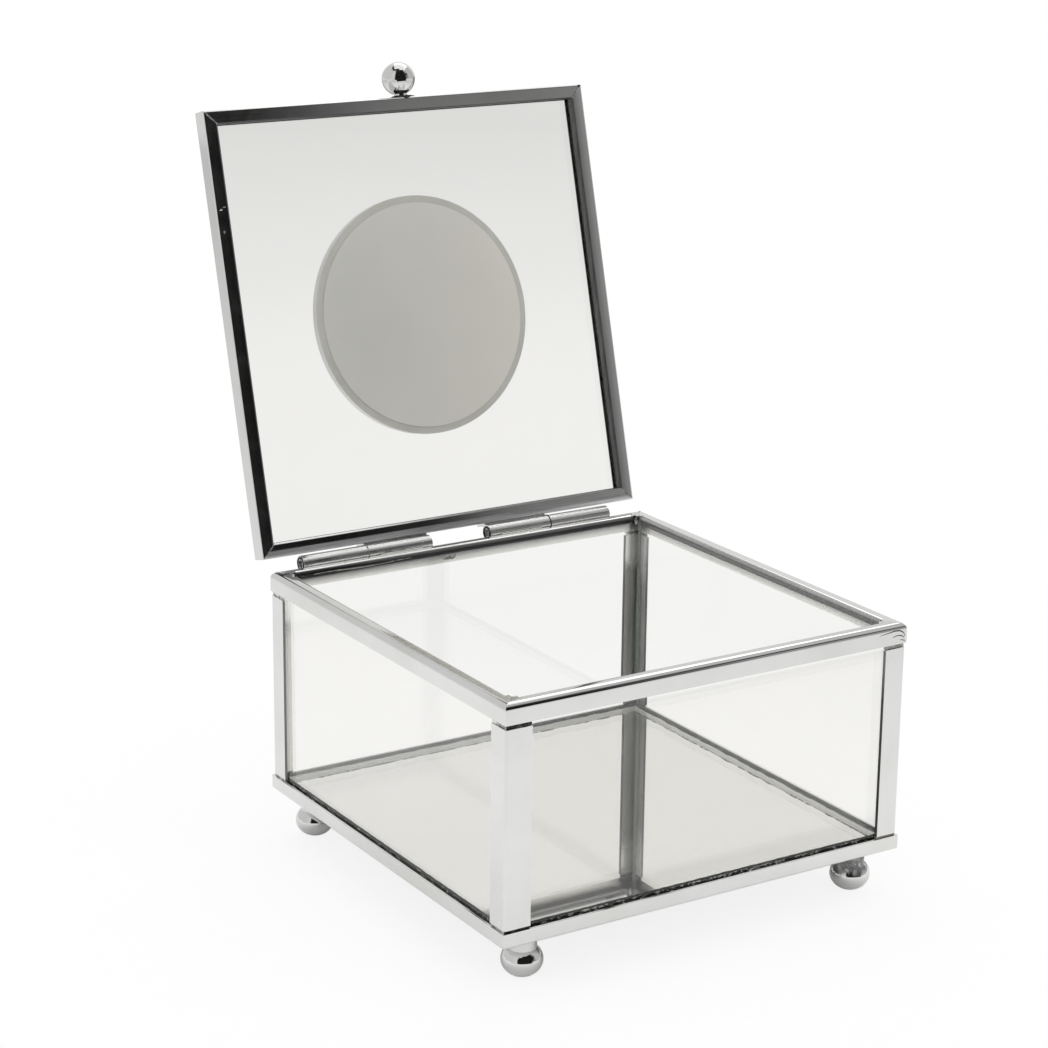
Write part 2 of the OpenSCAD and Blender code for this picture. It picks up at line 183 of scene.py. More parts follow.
class Graph:
    """Adds shader nodes to one node tree, setting or linking their inputs."""

    def __init__(self, tree):
        tree.nodes.clear()
        self.tree = tree

    def put(self, socket, value):
        if isinstance(value, bpy.types.NodeSocket):
            self.tree.links.new(value, socket)
        else:
            socket.default_value = value

    def add(self, kind, inputs=None, out=0, **settings):
        """Adds a node and gives one of its outputs, or the node itself if out is None."""
        node = self.tree.nodes.new(kind)
        for name, value in settings.items():
            setattr(node, name, value)
        for name, value in (inputs or {}).items():
            self.put(node.inputs[name], value)
        return node if out is None or not node.outputs else node.outputs[out]

    def math(self, operation, a, b=0.0, clamp=False):
        return self.add("ShaderNodeMath", {0: a, 1: b}, operation=operation, use_clamp=clamp)

    def both(self, a, b):
        return self.math("MULTIPLY", a, b)

    def inverse(self, a):
        return self.math("SUBTRACT", 1.0, a)

    def range(self, value, low, high, to_low=0.0, to_high=1.0):
        return self.add("ShaderNodeMapRange", {
            "Value": value, "From Min": low, "From Max": high, "To Min": to_low, "To Max": to_high})

    def hump(self, value, stops):
        """1 between the two middle angles, 0 outside the outer two; angles in degrees."""
        a, b, c, d = (math.radians(stop) for stop in stops)
        return self.both(self.range(value, a, b), self.range(value, d, c))

    def vector(self, operation, a, b=None):
        """Vector arithmetic; a length or a dot product comes out as a number."""
        out = "Value" if operation in ("LENGTH", "DOT_PRODUCT") else "Vector"
        inputs = {0: a} if b is None else {0: a, 1: b}
        return self.add("ShaderNodeVectorMath", inputs, out, operation=operation)

    def split(self, vector):
        return self.add("ShaderNodeSeparateXYZ", {"Vector": vector}, out=None).outputs

    def where(self):
        """The point in the row frame."""
        return self.add("ShaderNodeTexCoord", out="Object")

    def normal(self):
        """The surface's normal in the row frame."""
        normal = self.add("ShaderNodeNewGeometry", out="Normal")
        return self.add("ShaderNodeVectorTransform", {"Vector": normal}, vector_type="NORMAL",
                        convert_from="WORLD", convert_to="OBJECT")

    def bounces(self, kind, count=1):
        """1 where the light path has had at least so many bounces of a kind."""
        depth = self.add("ShaderNodeLightPath", out=kind + " Depth")
        return self.math("GREATER_THAN", depth, count - 0.5)

    def mix(self, factor, a, b):
        node = self.add("ShaderNodeMix", {"Factor": factor}, out=None, data_type="RGBA")
        self.put(node.inputs[6], a)
        self.put(node.inputs[7], b)
        return node.outputs[2]

    def fade(self, value, low, high, a, b):
        """One colour at the low value and the other at the high one."""
        return self.mix(self.range(value, low, high), a, b)

    def noise(self, scale, detail=3.0, rough=0.5, stretch=EVEN, twist=0.0):
        at = self.add("ShaderNodeMapping", {"Vector": self.where(), "Scale": stretch})
        return self.add("ShaderNodeTexNoise", {
            "Vector": at, "Scale": scale, "Detail": detail, "Roughness": rough, "Distortion": twist})

    def specks(self, scale, size):
        """1 in small round spots scattered about one to a cell, 0 between them."""
        near = self.add("ShaderNodeTexVoronoi", {"Vector": self.where(), "Scale": scale}, out="Distance")
        return self.range(near, size, size * 0.6)

    def ramp(self, value, stops):
        node = self.add("ShaderNodeValToRGB", {"Fac": value}, out=None)
        points = node.color_ramp.elements
        while len(points) < len(stops):
            points.new(1.0)
        for point, (at, tone) in zip(points, stops):
            point.position = at
            point.color = grey(tone)
        return node.outputs["Color"]

    def bump(self, height, distance, normal=None):
        inputs = {"Height": height, "Distance": distance, "Strength": 1.0}
        if normal is not None:
            inputs["Normal"] = normal
        return self.add("ShaderNodeBump", inputs)

    def principled(self, colour, rough, metal=0.0, normal=None, specular=0.5, clear=0.0):
        inputs = {"Base Color": colour, "Roughness": rough, "Metallic": metal, "IOR": 1.5,
                  "Specular IOR Level": specular, "Transmission Weight": clear}
        if normal is not None:
            inputs["Normal"] = normal
        return self.add("ShaderNodeBsdfPrincipled", inputs)

    def blend(self, factor, a, b):
        """Mix of two shaders."""
        return self.add("ShaderNodeMixShader", {0: factor, 1: a, 2: b})

    def surface(self, shader):
        self.add("ShaderNodeOutputMaterial", {"Surface": shader})


def grey(tone):
    return (tone, tone, tone, 1)


def new_material(name):
    material = bpy.data.materials.new(name)
    material.use_nodes = True
    return material, Graph(material.node_tree)


def new_object(name, data):
    thing = bpy.data.objects.new(name, data)
    bpy.context.scene.collection.objects.link(thing)
    return thing


def placed(at, right, up, back):
    """Matrix of a camera or lamp at a point, with its three axes."""
    return Matrix.Translation(at) @ Matrix((right, up, back)).transposed().to_4x4()


# ---------------------------------------------------------------- studio

def studio_camera():
    forward = Vector((math.sin(CAMERA_YAW) * math.cos(CAMERA_PITCH),
                      math.cos(CAMERA_YAW) * math.cos(CAMERA_PITCH), -math.sin(CAMERA_PITCH)))
    level = forward.cross(Z).normalized()
    upright = level.cross(forward)
    right = math.cos(CAMERA_ROLL) * level + math.sin(CAMERA_ROLL) * upright
    up = math.cos(CAMERA_ROLL) * upright - math.sin(CAMERA_ROLL) * level
    data = bpy.data.cameras.new("camera")
    data.sensor_width = SENSOR
    data.lens = CAMERA_LENS
    data.clip_start = CLIP_START
    camera = new_object("camera", data)
    camera.matrix_world = placed(CAMERA_AT, right, up, -forward)
    bpy.context.scene.camera = camera


def studio_world():
    """White to the camera, the grey backdrop through glass, and the studio in reflections."""
    world = bpy.data.worlds.new("studio")
    bpy.context.scene.world = world
    world.use_nodes = True
    g = Graph(world.node_tree)
    axes = g.split(g.add("ShaderNodeTexCoord", out="Generated"))
    turn = g.math("ARCTAN2", axes["X"], g.math("MULTIPLY", axes["Y"], -1))
    rise = g.math("ARCSINE", axes["Z"])
    stops = [((side + 180) / 360, tone) for side, tone in SIDE_TONES]
    sides = g.ramp(g.range(turn, -math.pi, math.pi), stops)
    shade = g.both(g.hump(turn, SHADE_SIDES), g.hump(rise, SHADE_RISE))
    sides = g.mix(shade, sides, grey(SHADE_TONE))
    far_floor = g.mix(g.hump(turn, DIM_SIDES), grey(FAR_FLOOR), grey(DIM_TONE))
    sides = g.fade(rise, 0, HORIZON_BLEND, sides, far_floor)
    mirrored = g.fade(rise, *map(math.radians, CEILING_RISE), sides, grey(CEILING))
    mirrored = g.mix(g.bounces("Transmission", 2), mirrored, grey(ROOM_TONE))
    on_matt = g.bounces("Diffuse")
    plain = g.mix(g.bounces("Transmission"), grey(1.0), grey(BACKDROP_TONE))
    plain = g.mix(on_matt, plain, grey(SOFT_LIGHT))
    in_metal = g.both(g.bounces("Glossy"), g.inverse(on_matt))
    light = g.add("ShaderNodeBackground", {"Color": g.mix(in_metal, plain, mirrored), "Strength": 1.0})
    g.add("ShaderNodeOutputWorld", {"Surface": light})


def floor_material():
    """Pale matt floor: white to the camera but for the box's soft shadow, greyer through glass."""
    material, g = new_material("floor_white")
    away = g.vector("LENGTH", g.where())
    at = g.split(g.where())
    in_metal, in_glass = g.bounces("Glossy"), g.bounces("Transmission")
    shadow = g.mix(in_glass, grey(SHADOW_SEEN), grey(SHADOW_IN_GLASS))
    shadow = g.both(g.range(away, *SHADOW_ENDS, 1, 0), g.mix(in_metal, shadow, grey(SHADOW_IN_METAL)))
    dim = g.both(g.range(at["X"], *DIM_X), g.range(at["Y"], *DIM_Y))
    dim = g.both(dim, g.range(away, *DIM_AWAY))
    mirrored = g.mix(dim, g.ramp(away, MIRRORED_FLOOR), grey(DIM_TONE))
    through = g.mix(in_metal, g.ramp(away, FLOOR_TONES), mirrored)
    indirect = g.math("ADD", in_metal, in_glass, clamp=True)
    matt = g.add("ShaderNodeBsdfDiffuse", {"Color": grey(FLOOR_WHITE)})
    glow = g.add("ShaderNodeEmission", {"Color": g.mix(indirect, grey(1.0), through), "Strength": 1.0})
    diffuse_ray = g.add("ShaderNodeLightPath", out="Is Diffuse Ray")
    g.surface(g.blend(diffuse_ray, g.blend(shadow, glow, matt), matt))
    return material


def studio_floor():
    bpy.ops.mesh.primitive_circle_add(vertices=96, radius=FLOOR_RADIUS, fill_type="NGON")
    floor = bpy.context.object
    floor.name = "studio_floor"
    floor.data.materials.append(floor_material())


def studio_screen():
    """Black screen in front of the box, to the left, which darkens the metal's reflections."""
    material, g = new_material("screen_black")
    across = g.split(g.where())["X"]
    clear = g.add("ShaderNodeBsdfTransparent", {"Color": grey(1.0)})
    black = g.add("ShaderNodeEmission", {"Color": grey(DARK), "Strength": 1.0})
    in_glass = g.bounces("Transmission", 2)
    g.surface(g.blend(g.math("MAXIMUM", g.range(across, SCREEN_SOLID, SCREEN_RIGHT), in_glass), black, clear))
    mesh = bpy.data.meshes.new("studio_screen")
    corners = [(SCREEN_LEFT, SCREEN_LOW), (SCREEN_RIGHT, SCREEN_LOW),
               (SCREEN_RIGHT, SCREEN_HIGH), (SCREEN_LEFT, SCREEN_HIGH)]
    mesh.from_pydata([(x, SCREEN_Y, z) for x, z in corners], [], [(0, 1, 2, 3)])
    mesh.materials.append(material)
    screen = new_object("studio_screen", mesh)
    screen.visible_camera = False
    screen.visible_diffuse = False
    screen.visible_transmission = False
    screen.visible_shadow = False


def studio_lamp():
    """Large softbox over the box, level and in line with the camera."""
    right = Vector((math.cos(CAMERA_YAW), -math.sin(CAMERA_YAW), 0))
    back = Vector((math.sin(CAMERA_YAW), math.cos(CAMERA_YAW), 0))
    low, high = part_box("lid_knob")
    data = bpy.data.lights.new("softbox", "AREA")
    data.shape = "RECTANGLE"
    data.size = LAMP_WIDTH
    data.size_y = LAMP_LENGTH
    data.energy = LAMP_WATTS
    at = (low + high) / 2 + right * LAMP_RIGHT + back * LAMP_BACK + Z * LAMP_HEIGHT
    new_object("softbox", data).matrix_world = placed(at, right, back, Z)


# ---------------------------------------------------------------- materials

def inwardness(g, axis, middle):
    """How squarely the surface faces the middle along an axis, and how far from the middle it lies."""
    offset = g.vector("DOT_PRODUCT", g.vector("SUBTRACT", g.where(), tuple(middle)), tuple(axis))
    along = g.vector("DOT_PRODUCT", g.normal(), tuple(axis))
    inward = g.math("MULTIPLY", g.both(along, g.math("SIGN", offset)), -1)
    return inward, g.math("ABSOLUTE", offset)


def warped(g, height, noise, size):
    """Height that wavers with a noise, so that what follows it has no straight edge."""
    return g.math("ADD", height, g.both(g.math("SUBTRACT", noise, 0.5), size))


def plate(g, tone, grain, rough, wave, shade=None):
    """Silver plate with faint tarnish, pits, smudges, drawing lines and soft waviness, with painted shade
    multiplied into its colour if asked.
    """
    tarnish = g.noise(60, detail=4, rough=0.6, twist=0.4)
    warm = (tone * 0.96, tone * 0.955, tone * 0.93, 1)
    clean = (tone * 1.02, tone * 1.02, tone * 1.015, 1)
    pits = g.both(g.specks(700, 0.10), g.range(tarnish, 0.45, 0.60, 0, 0.22))
    colour = g.mix(pits, g.fade(tarnish, 0.35, 0.65, warm, clean), grey(tone * 0.45))
    # Painted shade: the caller's factor darkens or lightens the plate's colour
    if shade is not None:
        colour = g.vector("MULTIPLY", colour, shade)
    smudge = g.noise(140, detail=5, rough=0.65, twist=0.6)
    lines = g.noise(2200, detail=2, stretch=grain)
    worn = g.math("ADD", g.range(smudge, 0.4, 0.75, *rough), g.range(lines, 0.3, 0.8, -0.01, 0.03))
    roll = g.noise(90, detail=2, rough=0.4, stretch=tuple((1 + s) / 2 for s in grain))
    return g.principled(colour, worn, 1.0, g.bump(lines, wave * 0.02, g.bump(roll, wave)))


def ball_metal():
    material, g = new_material("plated_ball")
    g.surface(plate(g, *BALL_PLATE))
    return material


def stained_ball():
    """The balls' plate with old flux around its neck."""
    material, g = new_material("plated_ball_stained")
    patch = g.noise(420, detail=4, rough=0.6, twist=0.5)
    high = g.range(g.split(g.where())["Z"], *FOOT_STAIN)
    stained = g.both(g.range(g.math("ADD", patch, g.math("MULTIPLY", high, 0.16)), 0.50, 0.60), high)
    flux = g.principled(g.fade(patch, 0.38, 0.62, grey(0.05), grey(0.50)), 0.45,
                        normal=g.bump(patch, 0.03 * MM), specular=0.3)
    g.surface(g.blend(stained, plate(g, *BALL_PLATE), flux))
    return material


def rail_metal(name, axis, grain, fold, lip, painted_top_shade):
    """Folded strip: bright outside with painted shade on top, tarnished on its inner fold and lip with
    painted shade over the tarnish, pale inside with painted shade under the lip.
    """
    material, g = new_material(name)
    # Painted shade: the top face's colour times a factor, by how squarely it faces up
    top = g.fade(g.split(g.normal())["Z"], 0.90, 0.99, grey(1.0), grey(painted_top_shade))
    bright = plate(g, 0.78, grain, (0.04, 0.11), 0.02 * MM, top)
    inward, depth = inwardness(g, axis, MIDDLE)
    streak = g.noise(420, detail=4, rough=0.65, stretch=grain, twist=0.3)
    patch = g.range(streak, 0.36, 0.64)
    height = warped(g, g.split(g.where())["Z"], streak, 1.2 * MM)
    # Tarnish with painted shade: the lip's tones change with height and the fold's tones differ from rail to
    # rail
    lip_tarnish_and_shade = g.fade(height, *LIP, *map(grey, lip))
    fold_tarnish_and_shade = g.mix(patch, *map(grey, fold))
    inside = g.mix(patch, (0.84, 0.84, 0.82, 1), (0.96, 0.96, 0.94, 1))
    # Painted shade under the lip: the pale inside darkens towards it
    inside = g.fade(height, *UNDER_LIP_PAINTED_SHADE, inside, grey(0.30))
    in_channel = g.math("GREATER_THAN", depth, CHANNEL_DEPTH)
    colour = g.mix(in_channel, g.fade(inward, 0.90, 0.985, fold_tarnish_and_shade, lip_tarnish_and_shade), inside)
    dull = g.principled(colour, g.range(streak, 0.3, 0.7, 0.22, 0.42),
                        g.range(in_channel, 0, 1, 0.6, 1.0), g.bump(streak, 0.02 * MM))
    g.surface(g.blend(g.range(inward, 0.48, 0.60), bright, dull))
    return material


def lid_metal(name, axis, grain, hem, shading, hinged=False, across=False):
    """The lid's strip: plate with painted shade along or across, its turned hem with painted light and shade,
    and heat stains by the hinges.
    """
    material, g = new_material(name)
    inward, depth = inwardness(g, axis, LID_MIDDLE)
    at = g.split(g.where())
    share = (g.range(depth, LID_SIDE - LID_FRAME, LID_SIDE) if across
             else g.range(at["X"], -LID_SIDE, LID_SIDE))
    bright = plate(g, 0.76, grain, (0.05, 0.14), 0.03 * MM, g.ramp(share, shading))
    streak = g.noise(520, detail=4, rough=0.65, stretch=grain, twist=0.2)
    patch = g.range(streak, 0.40, 0.68)
    worn_hem = g.mix(patch, grey(0.55), grey(1.0))
    # The hem's worn tone times its ramp of painted light and shade
    turned = g.principled(g.vector("MULTIPLY", worn_hem, g.ramp(share, hem)), 0.4, 0.3)
    facing = (0.32, 0.58) if hinged else (0.08, 0.30)
    shader = g.blend(g.range(inward, *facing), bright, turned)
    if hinged:
        height = warped(g, at["Z"], g.noise(160, detail=2, stretch=grain), 0.9 * MM)
        stained = g.both(g.range(height, *HEAT_EDGE), g.math("LESS_THAN", inward, 0.3))
        low = g.range(height, *HEAT)
        tone = g.mix(patch, g.mix(low, grey(0.13), grey(0.36)), g.mix(low, grey(0.50), grey(0.80)))
        heat = g.principled(tone, g.range(streak, 0.3, 0.7, 0.25, 0.45), 0.5, g.bump(streak, 0.02 * MM))
        shader = g.blend(stained, shader, heat)
    g.surface(shader)
    return material


def post_metal():
    """Bright outside, dull stained grey where a leg lies on the glass, dark on its cut ends and on a strip
    beside the right posts' leg ends: bare metal with a painted contact shadow against the glass.
    """
    material, g = new_material("plated_post")
    at = g.split(g.where())
    across = at["X"]
    along = g.math("SUBTRACT", at["Y"], MIDDLE.y)
    left = g.math("LESS_THAN", across, 0)
    face = g.split(g.add("ShaderNodeNewGeometry", out="True Normal"))
    inner, ends = [], []
    for offset, look in ((across, face["X"]), (along, face["Y"])):
        inner.append(g.math("LESS_THAN", g.both(look, g.math("SIGN", offset)), -SQUARE_ON))
        ends.append(g.both(inner[-1], g.math("LESS_THAN", g.math("ABSOLUTE", offset), LEG_END)))
    # A strip of the right posts' front-facing faces beside their leg ends, dark like the cut ends
    beside = g.both(g.math("GREATER_THAN", across, 0), g.math("LESS_THAN", across, RIGHT_POST_EDGE))
    beside = g.both(beside, g.math("LESS_THAN", face["Y"], -SQUARE_ON))
    end = g.math("ADD", g.math("ADD", *ends), beside, clamp=True)

    stain = g.noise(260, detail=5, rough=0.6, stretch=(1, 1, 0.25), twist=0.5)
    patch = g.range(stain, 0.35, 0.7)
    height = g.math("ADD", at["Z"], g.both(g.noise(200, detail=2), 6 * MM))
    fresh = g.both(g.math("MAXIMUM", g.range(height, *POST_FRESH), left), inner[1])
    high = g.both(g.range(height, *POST_BRIGHT), g.inverse(left))
    dull_x = g.mix(patch, (0.34, 0.345, 0.325, 1), (0.55, 0.553, 0.52, 1))
    dull_x = g.mix(high, dull_x, (0.95, 0.95, 0.92, 1))
    dull_y = g.mix(patch, (0.28, 0.283, 0.265, 1), (0.46, 0.463, 0.435, 1))
    dull = g.mix(fresh, g.mix(inner[0], dull_y, dull_x), (0.96, 0.96, 0.94, 1))
    rough = g.both(g.range(stain, 0.3, 0.7, 0.34, 0.55), g.range(fresh, 0, 1, 1, 0.25))
    shine = g.math("MAXIMUM", 0.25, g.both(fresh, g.range(left, 0, 1, 0.4, 1.0)))
    matt = g.principled(dull, rough, shine, g.bump(stain, 0.02 * MM))
    back_left = g.both(left, g.math("GREATER_THAN", along, 0))
    pale_end = g.math("MAXIMUM", back_left, g.both(high, 0.8))
    # Dark cut ends: bare cut metal, with a painted contact shadow against the glass
    cut = g.mix(pale_end, g.fade(stain, 0.4, 0.7, grey(0.02), grey(0.09)), grey(0.24))
    cut_end_and_painted_shadow = g.principled(cut, 0.55, specular=0.2)
    laid = g.blend(g.math("ADD", *inner, clamp=True), plate(g, 0.78, ALONG_Z, (0.04, 0.11), 0.02 * MM), matt)
    g.surface(g.blend(end, laid, cut_end_and_painted_shadow))
    return material


def hinge_metal():
    """Drawn tube: bright where it has rubbed, dark where flux and tarnish sit."""
    material, g = new_material("hinge_metal")
    patch = g.noise(330, detail=5, rough=0.7, stretch=(0.22, 1, 1), twist=0.4)
    dark = g.principled((0.045, 0.044, 0.04, 1), 0.4, 0.4, g.bump(patch, 0.03 * MM))
    bright = plate(g, 0.76, ALONG_X, (0.20, 0.34), 0.04 * MM)
    g.surface(g.blend(g.range(patch, 0.58, 0.66, 0, 0.85), bright, dark))
    return material


def mottled(name, noise, span, tones, rough, bump=None, metal=0.0, specular=0.5):
    """Material of two tones mixed by one noise; rough is a number or a range of it, bump is in mm."""
    material, g = new_material(name)
    patch = g.noise(**noise)
    worn = g.range(patch, *rough) if isinstance(rough, tuple) else rough
    normal = g.bump(patch, bump * MM) if bump else None
    g.surface(g.principled(g.fade(patch, *span, *tones), worn, metal, normal, specular))
    return material


def clear_glass(name, tint):
    """Float glass under a hardly visible film."""
    material, g = new_material(name)
    film = g.noise(70, detail=5, rough=0.6, twist=0.8)
    hazed = tuple(0.99 * c for c in tint[:3]) + (1,)
    g.surface(g.principled(g.fade(film, 0.4, 0.8, tint, hazed), 0.0, clear=1.0))
    return material


def plate_top():
    """Front of the mirror: clear glass with a little dust."""
    material, g = new_material("mirror_glass")
    dust = g.both(g.specks(260, 0.045), g.math("GREATER_THAN", g.noise(55, detail=2), 0.56))
    clear = g.principled((0.985, 0.99, 0.985, 1), 0.0, clear=1.0)
    lint = g.add("ShaderNodeBsdfDiffuse", {"Color": (0.9, 0.9, 0.88, 1)})
    g.surface(g.blend(dust, clear, lint))
    return material


def flakes(g, scale, low, high):
    """Where small shells have chipped off a cut edge."""
    return g.range(g.noise(scale, detail=4, rough=0.6, stretch=(0.4, 0.4, 1), twist=0.8), low, high)


def plate_edge():
    """Cut edge of the mirror: nearly black with chips from outside, grey from within the glass, paler on the
    side edges; the black is painted shade and the grey is painted light on one and the same edge.
    """
    material, g = new_material("mirror_edge")
    fine = g.noise(1500, rough=0.6)
    # From outside: painted shade, nearly black, with white chips of the broken edge
    dark = g.fade(fine, 0.35, 0.7, (0.008, 0.010, 0.008, 1), (0.03, 0.035, 0.03, 1))
    outside = g.mix(flakes(g, 1900, 0.59, 0.63), dark, (0.80, 0.82, 0.80, 1))
    # From within the glass: painted light, grey, paler still on the side edges
    side_edges_painted_light = g.math("GREATER_THAN", g.math("ABSOLUTE", g.split(g.normal())["X"]), 0.5)
    inside = g.fade(fine, 0.3, 0.7, (0.68, 0.69, 0.665, 1), (0.82, 0.83, 0.80, 1))
    inside = g.mix(side_edges_painted_light, inside, (0.96, 0.965, 0.94, 1))
    within = g.add("ShaderNodeNewGeometry", out="Backfacing")
    g.surface(g.principled(g.mix(within, outside, inside), 0.55,
                           normal=g.bump(fine, 0.01 * MM), specular=0.25))
    return material


def plate_arris():
    """Nibbled arris of the mirror, which catches the light."""
    material, g = new_material("mirror_arris")
    fine = g.noise(1200, detail=4, rough=0.7)
    dark = g.fade(fine, 0.35, 0.65, (0.02, 0.022, 0.02, 1), (0.12, 0.125, 0.12, 1))
    colour = g.mix(flakes(g, 1700, 0.55, 0.60), dark, (0.92, 0.93, 0.91, 1))
    g.surface(g.principled(colour, 0.35, normal=g.bump(fine, 0.02 * MM)))
    return material


def back_paint():
    """Brushed grey paint on the mirror's back."""
    material, g = new_material("mirror_paint")
    brush = g.noise(400, rough=0.6, stretch=(0.08, 1, 1))
    colour = g.fade(g.noise(35), 0.35, 0.65, (0.20, 0.205, 0.21, 1), (0.26, 0.265, 0.27, 1))
    g.surface(g.principled(colour, g.range(brush, 0.3, 0.7, 0.5, 0.7), normal=g.bump(brush, 0.02 * MM)))
    return material


def satin_disc():
    """Satin metal, with adhesive smeared over the side that lies on the glass."""
    material, g = new_material("medallion_metal")
    patch = g.range(g.noise(45, detail=4, rough=0.6, twist=0.5), 0.35, 0.65)
    fine = g.noise(1500, rough=0.6)
    normal = g.bump(fine, 0.01 * MM)
    satin = g.principled(g.mix(patch, (0.60, 0.60, 0.58, 1), (0.66, 0.66, 0.65, 1)),
                         g.range(fine, 0.3, 0.7, 0.28, 0.42), 1.0, normal)
    smeared = g.principled(g.mix(patch, (0.57, 0.57, 0.545, 1), (0.64, 0.64, 0.615, 1)),
                           g.range(fine, 0.3, 0.7, 0.5, 0.7), normal=normal)
    glued = g.vector("DOT_PRODUCT", g.normal(), tuple(LID_INNER_SIDE))
    g.surface(g.blend(g.range(glued, 0.6, 0.8), satin, smeared))
    return material


def adhesive():
    """Grey adhesive under the glass, mottled, and warmer and paler to the right."""
    material, g = new_material("adhesive_pad")
    fine = g.noise(700, rough=0.6)
    across = g.range(g.split(g.where())["X"], -24 * MM, 25 * MM)
    warm = g.mix(across, (0.725, 0.72, 0.695, 1), (0.825, 0.805, 0.76, 1))
    cool = g.mix(across, (0.685, 0.69, 0.67, 1), (0.78, 0.77, 0.735, 1))
    colour = g.fade(g.noise(30, twist=0.5), 0.35, 0.65, warm, cool)
    g.surface(g.principled(colour, g.range(fine, 0.3, 0.7, 0.55, 0.75), normal=g.bump(fine, 0.02 * MM)))
    return material


# ---------------------------------------------------------------- pieces

def dress(names, material):
    for name in names:
        node = frame["nodes"][name]
        node.data.materials.clear()
        node.data.materials.append(material)


def soften(names):
    """Slightly rounded cut edges on a CAD node, by modifiers alone."""
    for name in names:
        node = frame["nodes"][name]
        weld = node.modifiers.new("weld", "WELD")
        weld.merge_threshold = SAME_POINT
        bevel = node.modifiers.new("edges", "BEVEL")
        bevel.limit_method = "ANGLE"
        bevel.angle_limit = SHARP
        bevel.width = CUT_EDGE
        bevel.segments = 2
        bevel.use_clamp_overlap = True
        even = node.modifiers.new("normals", "WEIGHTED_NORMAL")
        even.keep_sharp = False


def piece(name, b, body, materials, replaced=()):
    """Makes a bmesh an object that rides on a body, in place of the CAD nodes that it replaces."""
    mesh = bpy.data.meshes.new(name)
    b.to_mesh(mesh)
    b.free()
    for material in materials:
        mesh.materials.append(material)
    thing = new_object(name, mesh)
    if replaced:
        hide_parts(*replaced)
    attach(thing, body)
    return thing


def settle(b, smooth):
    """Turns the faces of closed shapes outwards, and shades them smooth or flat."""
    bmesh.ops.recalc_face_normals(b, faces=b.faces)
    for face in b.faces:
        face.smooth = smooth


def band(b, lower, upper, material=0):
    """Quads between two loops of points."""
    count = len(lower)
    for i in range(count):
        k = (i + 1) % count
        b.faces.new((lower[i], lower[k], upper[k], upper[i])).material_index = material


def prism(b, lower, upper, material=0):
    """Closed body between two loops of points."""
    b.faces.new(upper).material_index = material
    b.faces.new(list(reversed(lower))).material_index = material
    band(b, lower, upper, material)


def arrised_pane(name, node, body, clear, edge):
    """A CAD pane with ground arrises, a hair inside the CAD faces so that no two coincide."""
    b = bmesh.new()
    b.from_mesh(frame["nodes"][node].data)
    bmesh.ops.remove_doubles(b, verts=b.verts, dist=SAME_POINT)
    bmesh.ops.dissolve_limit(b, angle_limit=NEARLY_FLAT, verts=b.verts, edges=b.edges)
    b.normal_update()
    moves = [(v, v.normal * (-HAIR * v.calc_shell_factor())) for v in b.verts]
    for v, move in moves:
        v.co += move
    flat = max(b.faces, key=lambda f: f.calc_area()).normal.copy()
    bmesh.ops.bevel(b, geom=b.edges[:], offset=ARRIS, segments=1, affect="EDGES", profile=0.5)
    b.normal_update()
    for face in b.faces:
        face.material_index = 0 if abs(face.normal.dot(flat)) > 0.99 else 1
    piece(name, b, body, [clear, edge], [node]).visible_shadow = False


def perimeter(low, high, step):
    """Points around a rectangle, anticlockwise from its front left corner, with the inward direction."""
    points = []
    corners = [(low.x, low.y), (high.x, low.y), (high.x, high.y), (low.x, high.y)]
    inwards = [(0, 1), (-1, 0), (0, -1), (1, 0)]
    for side in range(4):
        a, c = corners[side], corners[(side + 1) % 4]
        count = max(1, round((abs(c[0] - a[0]) + abs(c[1] - a[1])) / step))
        before = inwards[side - 1]
        for i in range(count):
            t = i / count
            way = inwards[side]
            if i == 0:
                way = (way[0] + before[0], way[1] + before[1])
            points.append(((a[0] + (c[0] - a[0]) * t, a[1] + (c[1] - a[1]) * t), way))
    return points


def nibbles(count, seed, chips):
    """Depth of an edge's arris at each point around a loop: a fine chamfer with shell-shaped chips."""
    draw = random.Random(seed)
    depth = [draw.uniform(0.10, 0.16) for _ in range(count)]
    for _ in range(chips):
        at = draw.randrange(count)
        half = draw.randint(1, 4)
        deep = draw.uniform(0.12, 0.42)
        for i in range(-half, half + 1):
            bite = deep * math.sqrt(max(0.0, 1 - (i / (half + 0.5)) ** 2))
            k = (at + i) % count
            depth[k] = max(depth[k], 0.12 + bite * draw.uniform(0.75, 1.0))
    return [d * MM for d in depth]


def mirror_plate():
    """Silvered plate: clear top, chipped arris, cut edges with painted shade outside and painted light
    within, and the silver underneath.
    """
    chip_step = 0.45 * MM
    glass, edge, silver, arris = range(4)
    low = PLATE_LOW + Vector((HAIR, HAIR, HAIR))
    high = PLATE_HIGH - Vector((HAIR, HAIR, HAIR))
    points = perimeter(low, high, chip_step)
    b = bmesh.new()
    top, shoulder, foot = [], [], []
    for ((x, y), (wx, wy)), d in zip(points, nibbles(len(points), seed=7, chips=150)):
        top.append(b.verts.new((x + wx * d, y + wy * d, high.z)))
        shoulder.append(b.verts.new((x, y, high.z - 0.9 * d)))
        foot.append(b.verts.new((x, y, low.z)))
    b.faces.new(top).material_index = glass
    b.faces.new(list(reversed(foot))).material_index = silver
    band(b, foot, shoulder, edge)
    band(b, shoulder, top, arris)
    silvering = mottled("mirror_silver", dict(scale=30, detail=4, rough=0.6, twist=0.5), (0.3, 0.7),
                        [(0.935, 0.925, 0.90, 1), (0.95, 0.94, 0.915, 1)], (0.3, 0.8, 0.0, 0.02), metal=1.0)
    mirror = piece("mirror_plate", b, "casket",
                   [plate_top(), plate_edge(), silvering, plate_arris()], ["mirror_floor"])
    mirror.visible_shadow = False


